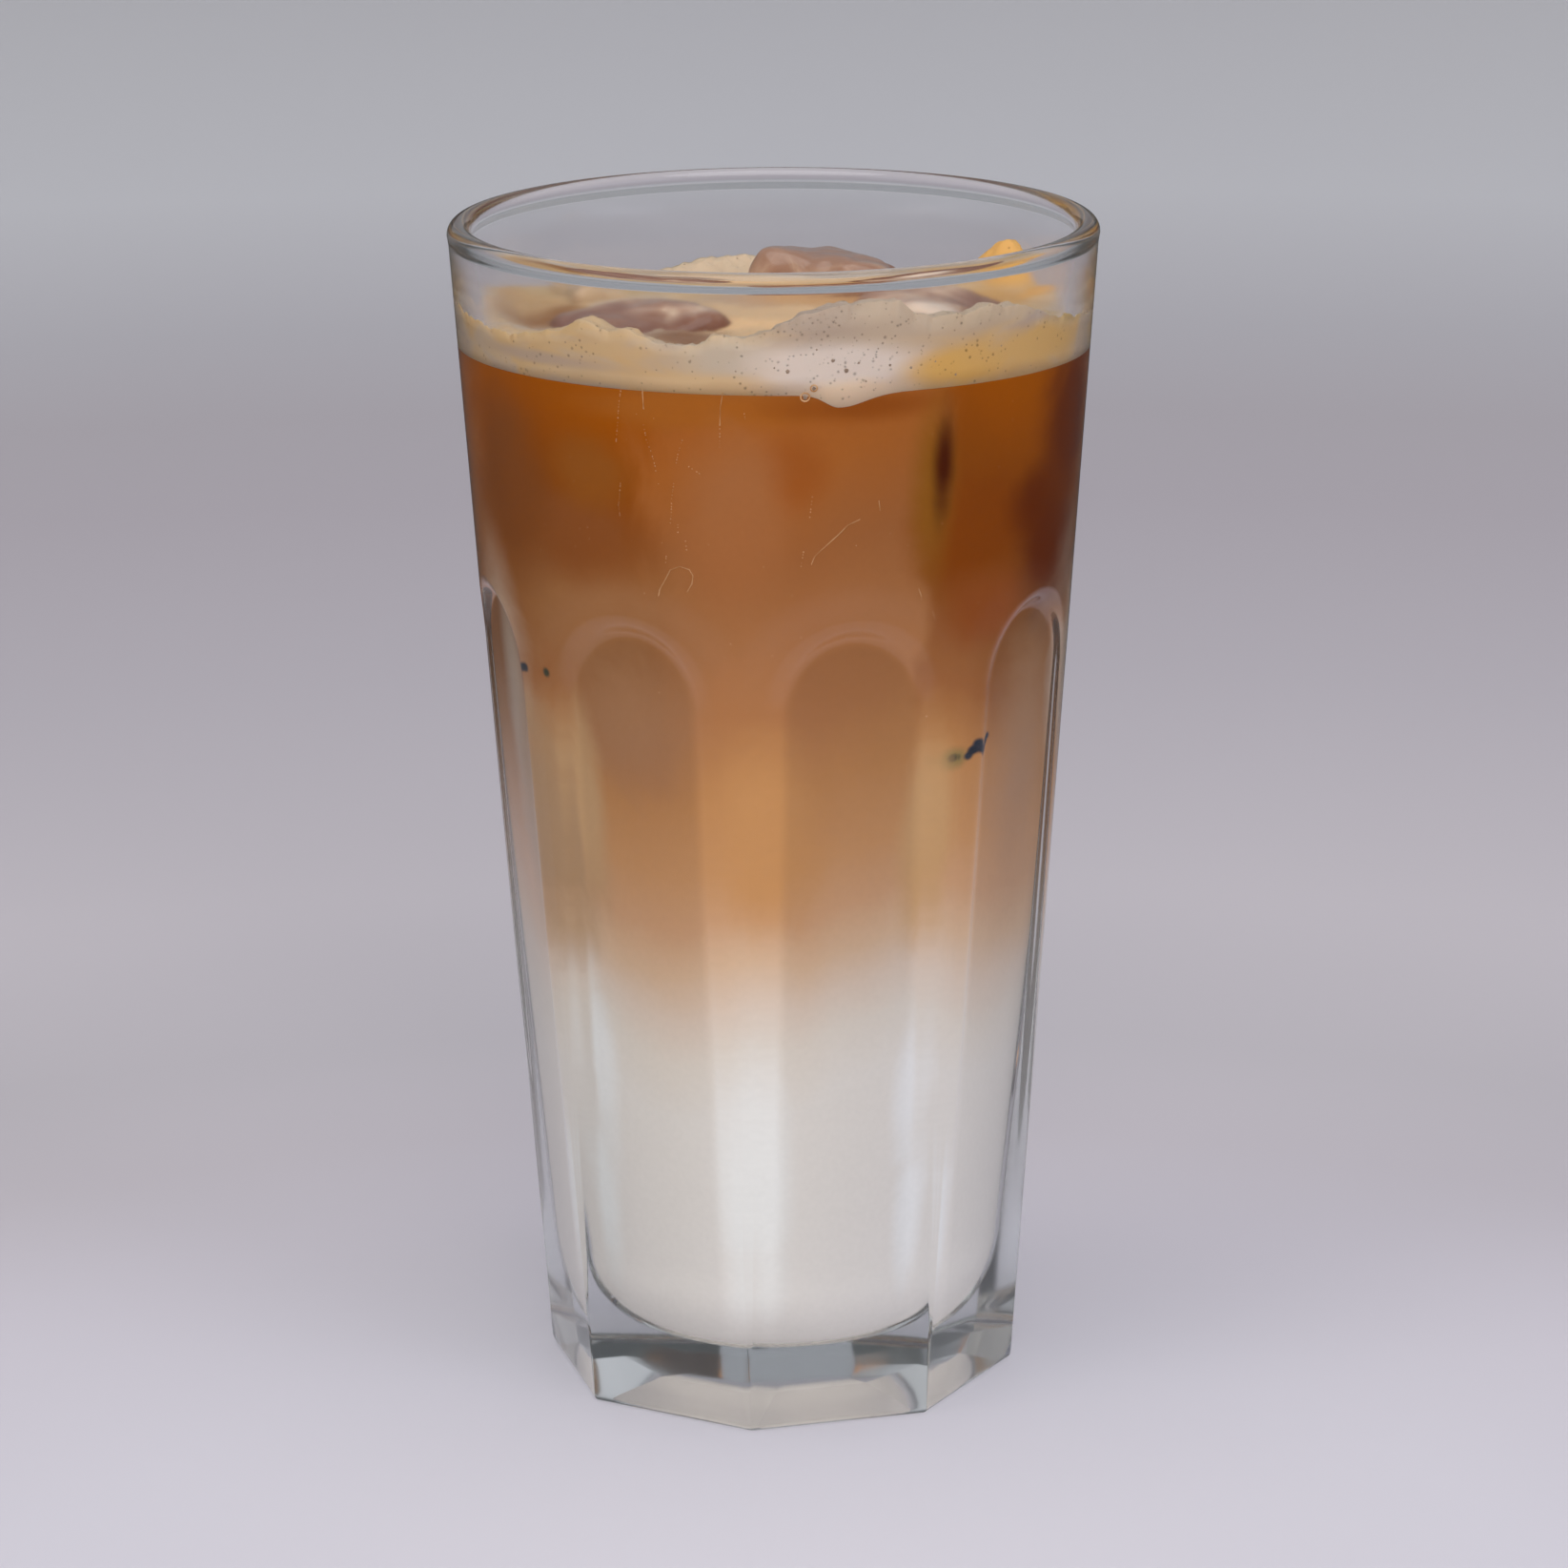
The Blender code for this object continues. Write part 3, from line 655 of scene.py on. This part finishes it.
def ballMesh(points, faces, centre, radius, sides=8, levels=5):
    start = len(points)
    for level in range(levels):
        tilt = math.pi * (level + 0.5) / levels
        for side in range(sides):
            turn = 2 * math.pi * side / sides
            points.append(centre + radius * Vector((
                math.sin(tilt) * math.cos(turn), math.sin(tilt) * math.sin(turn), math.cos(tilt))))
    for level in range(levels - 1):
        for side in range(sides):
            a, b = start + level * sides + side, start + level * sides + (side + 1) % sides
            faces.append((a, a + sides, b + sides, b))
    faces.append([start + side for side in range(sides)])
    faces.append([start + (levels - 1) * sides + side for side in reversed(range(sides))])


def makeOpenBubbles(material):
    points, faces = [], []
    for degrees, mm, radius in foam["pits"]:
        middle = innerRadius(mm / 1000) + drink["intoWall"] - radius / 1000 * foam["pitSunk"]
        ballMesh(points, faces, around(middle, math.radians(degrees), mm / 1000), radius / 1000)
    return meshPiece("openFoamBubbles", points, faces, material)


# Strings of fine bubbles that cling to the glass in the coffee, with a few curled threads of foam

strings = {
    "bead": 0.00008, "beadSunk": 0.2,
    "gap": 0.00042, "thread": 0.00011,  # from bead to bead on a dotted string and on a thread
    "patchSize": 0.0014286,
    "dotted": [  # corners of each string: turn in degrees and height in mm
        [(-29.2, 126.2), (-30.0, 124.3), (-30.5, 122.1), (-31.3, 119.4)],
        [(-30.9, 114.9), (-31.7, 112.2), (-31.5, 110.7)],
        [(-25.1, 122.1), (-24.7, 120.3), (-23.9, 119.0), (-23.0, 116.8), (-23.9, 116.7)],
        [(-10.2, 122.4), (-10.4, 119.4)], [(-17.5, 120.6), (-18.5, 118.9), (-19.1, 117.4)],
        [(-19.6, 115.5), (-20.2, 113.6), (-20.5, 111.6), (-20.8, 110.5)], [(-19.2, 110.6), (-19.3, 109.4)],
        [(-17.8, 108.7), (-17.6, 107.3)], [(-16.4, 117.5), (-13.7, 116.5)], [(-22.0, 106.8), (-22.3, 105.6)],
        [(7.1, 114.1), (6.6, 111.4)], [(5.5, 107.8), (4.9, 105.6)], [(33.6, 99.4), (34.5, 98.3)],
        [(-5.6, 123.9), (-5.3, 122.8)],
    ],
    "threads": [
        [(-24.9, 126.2), (-24.9, 123.8)], [(-9.5, 126.2), (-10.0, 124.6), (-10.2, 122.4)],
        [(-24.1, 102.1), (-23.8, 102.8), (-22.5, 104.0), (-21.3, 105.2), (-19.3, 105.7), (-17.3, 105.4),
         (-16.6, 104.7), (-16.9, 103.7), (-18.0, 102.7)],
        [(16.5, 111.2), (14.1, 110.6), (12.4, 109.6), (10.3, 108.5), (8.7, 107.7), (7.7, 107.1),
         (7.0, 106.1)],
        [(20.3, 113.2), (20.6, 112.0)], [(29.9, 102.3), (30.7, 101.3)],
    ],
    "rings": [(5.6, 125.75, 0.48), (7.2, 126.75, 0.36)],  # froth round bubbles: turn, height, radius
    "ringBeads": 28, "ringBead": 0.00010,
    "strays": 46, "strayTurns": (-55, 55), "strayHeights": (84, 124), "straySizes": (0.00003, 0.00007),
}


def clingingBubbles():  # pale froth beads, matte with a wet glint
    return bubbleFilm("clingingBubbles", strings["patchSize"], (0.36, "b98350"), (0.64, "e0b98c"), 0.3)


def makeStrings(material):
    g = strings
    points, faces = [], []
    draw = random.Random(5)

    def bead(degrees, mm, radius):
        middle = innerRadius(mm / 1000) + drink["intoWall"] - radius * g["beadSunk"]
        ballMesh(points, faces, around(middle, math.radians(degrees), mm / 1000), radius, 6, 4)

    for kind, step in (("dotted", g["gap"]), ("threads", g["thread"])):
        for corners in g[kind]:
            for (turnA, mmA), (turnB, mmB) in zip(corners, corners[1:]):
                width = math.radians(turnB - turnA) * innerRadius(mmA / 1000)
                count = max(1, round(math.hypot(width, (mmB - mmA) / 1000) / step))
                for i in range(count):
                    share = (i + (draw.uniform(-0.3, 0.3) if kind == "dotted" else 0.0)) / count
                    size = g["bead"] * (draw.uniform(0.5, 1.1) if kind == "dotted" else 0.75)
                    bead(turnA + (turnB - turnA) * share, mmA + (mmB - mmA) * share, size)
    for degrees, mm, radius in g["rings"]:
        for step in range(g["ringBeads"]):
            angle = 2 * math.pi * step / g["ringBeads"]
            side = math.degrees(radius * math.cos(angle) / 1000 / innerRadius(mm / 1000))
            bead(degrees + side, mm + radius * math.sin(angle), g["ringBead"])
    for i in range(g["strays"]):
        degrees = draw.uniform(*g["strayTurns"])
        mm = draw.uniform(*g["strayHeights"])
        bead(degrees, mm, draw.uniform(*g["straySizes"]))
    return meshPiece("clingingBubbleStrings", points, faces, material)


# Ice

ice = {
    "square": 5.5, "swell": 0.13, "swellScale": 0.9, "cuts": 38,
    "melt": 0.00060, "meltSize": 0.0060, "dimple": 0.0022, "dimpleShare": 0.4,
    "stainSize": 0.0058824, "glintSize": 0.00076923,  # melt dimples of 0.8 mm
    "wetTone": "7a4527", "wetLine": (0.1292, 0.1316),  # brown where the coffee wets it
    "pieces": {  # centre, size, turn, lean about X and Y in degrees, seed
        "ice_left": ((-0.0152, -0.0088, 0.1204), (0.0200, 0.0165, 0.0215), 24, (6, -7), 3),
        "ice_back": ((0.0052, 0.0178, 0.1214), (0.0175, 0.0165, 0.0230), -12, (-8, 9), 8),
        "ice_right": ((0.0185, -0.0050, 0.1206), (0.0175, 0.0180, 0.0210), 32, (7, 5), 14),
        "ice_edge": ((-0.0224, 0.0102, 0.1217), (0.0090, 0.0120, 0.0170), 22, (-6, 8), 21),
    },
    "tints": [  # middle, half size, softness of its edge, colour
        ((-0.0224, 0.0102, 0.1300), (0.0085, 0.0085, 0.010), 0.4, "c2a27c"),  # froth over the small piece
        ((0.0052, 0.0178, 0.1330), (0.0110, 0.0100, 0.0040), 0.6, "8f6c58"),  # dull brown back piece
        ((0.0185, -0.0125, 0.1314), (0.0040, 0.0028, 0.0009), 0.5, "e8cfb9"),  # painted highlight on the clear window of the right piece
    ],
}


def makeIce(node, material):
    centre, size, turn, lean, seed = ice["pieces"][node]
    half = Vector(size) / 2
    draw = random.Random(seed)
    offset = Vector([draw.uniform(-9, 9) for i in range(3)])
    shape = bmesh.new()
    bmesh.ops.create_cube(shape, size=2)
    bmesh.ops.subdivide_edges(shape, edges=shape.edges[:], cuts=ice["cuts"], use_grid_fill=True)
    stand = Matrix.Translation(Vector(centre)) @ Euler(
        (math.radians(lean[0]), math.radians(lean[1]), math.radians(turn))).to_matrix().to_4x4()
    for vert in shape.verts:
        flat = vert.co.copy()
        flat /= sum(abs(v) ** ice["square"] for v in flat) ** (1 / ice["square"])
        swell = 1 + ice["swell"] * noise.noise(flat * ice["swellScale"] + offset)
        reach = Vector([flat[i] * half[i] * swell for i in range(3)])
        hollow = noise.noise(reach / ice["meltSize"] + offset)
        hollow += ice["dimpleShare"] * noise.noise(reach / ice["dimple"] + offset)
        reach += flat.normalized() * ice["melt"] * hollow
        vert.co = stand @ reach
    mesh = bpy.data.meshes.new("melted_" + node)
    shape.to_mesh(mesh)
    shape.free()
    return placePiece(mesh, material)


# Ice cubes from a tray, half melted in coffee: wet, glossy, cloudy inside, brown and mauve in their hollows.
def coffeeStainedIce():
    material, add, place = newMaterial("coffeeStainedIce")
    axes = add("SeparateXYZ", {}, {"Vector": place})
    stain = add("TexNoise", {"Scale": 1 / ice["stainSize"], "Detail": 5.0, "Roughness": 0.6,
                             "Distortion": 0.8}, {"Vector": place})
    pale = add("ValToRGB", {"stops": [(0.36, "8d6148"), (0.46, "a67d63"), (0.56, "bd987d"),
                                      (0.7, "d8bb9f")]}, {0: stain})
    stray = add("MapRange", {"To Min": -0.0016, "To Max": 0.0016}, {"Value": stain})
    height = add("Math", {"operation": "ADD"}, {0: axes.outputs["Z"], 1: stray})
    dry = add("MapRange", {**smooth, "From Min": ice["wetLine"][0], "From Max": ice["wetLine"][1]},
              {"Value": height})
    stained = add("Mix", {"data_type": "RGBA", 6: linear(ice["wetTone"])}, {0: dry, 7: pale})
    ragged = add("MapRange", {"To Min": -0.5, "To Max": 0.5}, {"Value": stain})
    colour = paintSpots(add, place, stained, ice["tints"], ragged)
    glints = add("TexNoise", {"Scale": 1 / ice["glintSize"], "Detail": 2.0}, {"Vector": place})
    rough = add("Bump", {"Strength": 0.35, "Distance": 0.0007}, {"Height": stain})
    skin = add("Bump", {"Strength": 0.20, "Distance": 0.0001}, {"Height": glints, "Normal": rough})
    body = add("BsdfPrincipled", {
        "Roughness": 0.30, "IOR": 1.31, "Subsurface Weight": 0.25, "Subsurface Scale": 0.002,
        "Subsurface Radius": (1.0, 0.6, 0.45), "Coat Weight": 0.45, "Coat Roughness": 0.12,
    }, {"Base Color": colour, "Normal": skin})
    add("OutputMaterial", {}, {"Surface": body})
    return material


# Table, backdrop, light and camera

paper = {
    "wide": 1.6, "deep": 1.33, "wallWide": 0.53, "wallShift": -0.065, "wallTop": 0.95, "sweep": 0.27,
    "toneCentre": (0.0, -0.09, 0.0), "toneReach": 1.9,
    "tonesAndLight": [  # distance from there, colour of the paper with painted light on it, brightest just in front of the glass
        (0.0, "d6d4dd"), (0.09, "d2d0da"), (0.144, "cbc7d1"), (0.18, "c2bdc5"), (0.22, "bdb9c0"),
        (0.3, "c4bfc6"), (0.44, "bbb6be"), (0.58, "b6b0b8"), (0.67, "b7b2b9"), (0.77, "bfbdc4"),
        (0.96, "d6d6dc"), (1.38, "e0dfe4"), (1.62, "b4b8bd"),
    ],
}
flagCloth = {"radius": 0.20, "tall": 0.16, "fade": 0.045, "sides": 48, "tone": "3a4042"}
footCards = {
    "behind": 0.060, "mottleSize": 0.0011111,
    "sheets": [  # left, right, low, high
        (0.0085, 0.0225, 0.0165, 0.0300), (-0.0178, -0.0135, 0.0235, 0.0280),
    ],
    "glints": [  # middle, half size, softness of the edge, colour: painted reflections of the coffee, warm glints in the foot
        ((0.0102, 0.060, 0.0224), (0.0017, 0.002, 0.0013), 0.6, "ffb45c"),
        ((-0.0156, 0.060, 0.0256), (0.0040, 0.002, 0.0040), 0.5, "d99152"),
    ],
}
room = {
    "strength": 0.63,
    "sky": [(0.5, "555a5c"), (0.66, "5a5f60"), (0.78, "f3f5fc"), (0.97, "ffffff")],
    "behindCamera": 0.35,  # share of the light that comes from there
}
lamps = [  # name, place, width, watts, colour, whether glass and wet skins mirror it
    ("topSoftbox", (0.0, -0.3, 1.6), 1.4, 9.3, "ffffff", True),
    ("leftWindow", (-1.4, -0.8, 0.40), 1.0, 10.5, "fffaf5", False),
    ("rightWindow", (1.3, -0.9, 0.38), 1.0, 10.8, "f6f5ff", False),
    ("frontFill", (0.3, -1.8, 0.50), 1.4, 18.8, "fff8f4", False),
    ("footCaustic", (0.0, 0.0, 0.0003), 0.044, 0.0245, "fff5ec", False),  # light that the foot gathers
]
lampAim = Vector((0, 0, 0.07))
photoCamera = {  # fitted to the glass's outline in a photo of this many pixels
    "place": (0.0, -0.68558, 0.25617), "tilt": 0.2628, "roll": -0.0066,
    "framePixels": 1645, "focalPixels": 6241.36, "shiftPixels": 7.27, "sensor": 36.0,
}


def makeTable():
    s = paper
    wide = s["wide"]
    profile = [(-wide, 0.0, wide, 0.0), (s["deep"], 0.0, wide, 0.0)]
    for step in range(25):
        turn = math.pi / 2 * step / 24
        profile.append((s["deep"] + s["sweep"] * math.sin(turn), s["sweep"] * (1 - math.cos(turn)) + 1e-6,
                        s["wallWide"], s["wallShift"]))
    profile.append((s["deep"] + s["sweep"], s["wallTop"], s["wallWide"], s["wallShift"]))
    points = []
    for y, z, half, shift in profile:
        points += [(shift - half, y, z), (shift + half, y, z)]
    faces = [(2 * i, 2 * i + 1, 2 * i + 3, 2 * i + 2) for i in range(len(profile) - 1)]
    material, add, place = newMaterial("mattePaperSweep")  # pale matte paper, with painted light whose tone falls off softly
    away = add("VectorMath", {"operation": "DISTANCE", 1: s["toneCentre"]}, {0: place})
    share = add("Math", {"operation": "DIVIDE", 1: s["toneReach"]}, {0: away})
    tone = add("ValToRGB", {"stops": [(m / s["toneReach"], c) for m, c in s["tonesAndLight"]]}, {0: share})
    body = add("BsdfPrincipled", {"Roughness": 0.75, "Specular IOR Level": 0.2}, {"Base Color": tone})
    add("OutputMaterial", {}, {"Surface": body})
    table = meshPiece("paperSweep", points, faces, material)


def hideFrom(piece, rays):
    for kind in rays:
        setattr(piece, "visible_" + kind, False)


def makeFlag():  # black cloth round the set, which only reflections see: it keeps pale glare off the coffee
    g = flagCloth
    sides, count = g["sides"], 2 * g["sides"]
    turns = [2 * math.pi * i / sides for i in range(sides)]
    points = [around(g["radius"], turn, z) for turn in turns for z in (0.0, g["tall"])]
    faces = [(2 * i, 2 * i + 1, (2 * i + 3) % count, (2 * i + 2) % count) for i in range(sides)]
    material, add, place = newMaterial("blackFlagCloth")
    axes = add("SeparateXYZ", {}, {"Vector": place})
    dense = add("MapRange", {**smooth, "From Min": 0.0, "From Max": g["fade"]},
                {"Value": axes.outputs["Z"]})  # thins out towards the table, so its edge doesn't show
    clear = add("BsdfTransparent")
    body = add("BsdfPrincipled", {"Base Color": linear(g["tone"]), "Roughness": 0.9})
    both = add("MixShader", {}, {0: dense, 1: clear, 2: body})
    add("OutputMaterial", {}, {"Surface": both})
    flag = meshPiece("flagCloth", points, faces, material)
    hideFrom(flag, ("camera", "diffuse", "transmission", "shadow"))


def makeCards():  # a dark card and a copper one behind the glass, which only its thick foot shows: the copper and warm spots are painted reflections of the coffee
    points, faces = [], []
    y = footCards["behind"]
    for left, right, low, high in footCards["sheets"]:
        faces.append([len(points) + i for i in range(4)])
        points += [(left, y, low), (right, y, low), (right, y, high), (left, y, high)]
    material, add, place = newMaterial("footGlintCard")
    mottle = add("TexNoise", {"Scale": 1 / footCards["mottleSize"], "Detail": 2.0}, {"Vector": place})
    tone = add("ValToRGB", {"stops": [(0.4, "2c2723"), (0.6, "4a413a")]}, {0: mottle})
    stray = add("MapRange", {"To Min": -0.5, "To Max": 0.5}, {"Value": mottle})
    colour = paintSpots(add, place, tone, footCards["glints"], stray)
    body = add("BsdfPrincipled", {"Roughness": 0.6}, {"Base Color": colour})
    add("OutputMaterial", {}, {"Surface": body})
    cards = meshPiece("footCards", points, faces, material)
    hideFrom(cards, ("camera", "diffuse", "glossy", "shadow"))


def makeWorld():
    world = bpy.data.worlds.new("softRoom")
    bpy.context.scene.world = world
    world.use_nodes = True
    tree = world.node_tree
    add = functools.partial(addNode, tree)
    axes = add("SeparateXYZ", {}, {"Vector": add("TexCoord").outputs["Generated"]})
    lift = add("MapRange", {"From Min": -1.0}, {"Value": axes.outputs["Z"]})
    sky = add("ValToRGB", {"stops": room["sky"]}, {0: lift})
    front = add("MapRange", {"From Min": -0.9, "From Max": 0.3, "To Min": room["behindCamera"]},
                {"Value": axes.outputs["Y"]})
    both = add("Mix", multiply, {6: sky, 7: front})
    ground = tree.nodes["Background"]
    ground.inputs["Strength"].default_value = room["strength"]
    tree.links.new(both.outputs[2], ground.inputs["Color"])


def addLamp(name, place, size, power, colour, mirrored):
    lamp = bpy.data.lights.new(name, "AREA")
    lamp.shape = "DISK"
    lamp.size = size
    lamp.energy = power
    lamp.color = linear(colour)[:3]
    holder = bpy.data.objects.new(name, lamp)
    bpy.context.scene.collection.objects.link(holder)
    holder.location = place
    holder.rotation_euler = (lampAim - Vector(place)).to_track_quat("-Z", "Y").to_euler()
    if not mirrored:
        hideFrom(holder, ("glossy", "transmission"))


def addCamera():
    s = photoCamera
    lens = bpy.data.cameras.new("photoCamera")
    holder = bpy.data.objects.new("photoCamera", lens)
    bpy.context.scene.collection.objects.link(holder)
    lens.sensor_width = s["sensor"]
    lens.lens = s["focalPixels"] * s["sensor"] / s["framePixels"]
    lens.shift_x = s["shiftPixels"] / s["framePixels"]
    tilt = Matrix.Rotation(math.pi / 2 - s["tilt"], 4, "X")
    holder.matrix_world = Matrix.Translation(s["place"]) @ tilt @ Matrix.Rotation(s["roll"], 4, "Z")
    bpy.context.scene.camera = holder


def dress(piece, node):
    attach(piece, "root")
    if node:
        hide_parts(node)


dress(makeTumbler(pressedSodaLimeGlass()), "glass")
print("tumbler made")
dress(makeMilk(layeredMilkCoffee("pouredWholeMilk")), "milk")
dress(makeCoffee(layeredMilkCoffee("espressoWithMilk")), "coffee")
print("milk and coffee made")
dress(makeFoam(steamedMilkFroth()), "foam")
dress(makeOpenBubbles(openBubbles()), None)
dress(makeStrings(clingingBubbles()), None)
print("foam and its bubbles made")
stained = coffeeStainedIce()
for node in ice["pieces"]:
    dress(makeIce(node, stained), node)
print("ice made")
makeTable()
makeFlag()
makeCards()
makeWorld()
for lamp in lamps:
    addLamp(*lamp)
addCamera()
bpy.context.scene.view_settings.view_transform = "Standard"
paths = bpy.context.scene.cycles  # light turns often in a glass wall
paths.max_bounces = 20
paths.glossy_bounces = 16
paths.transmission_bounces = 20
print("studio made")
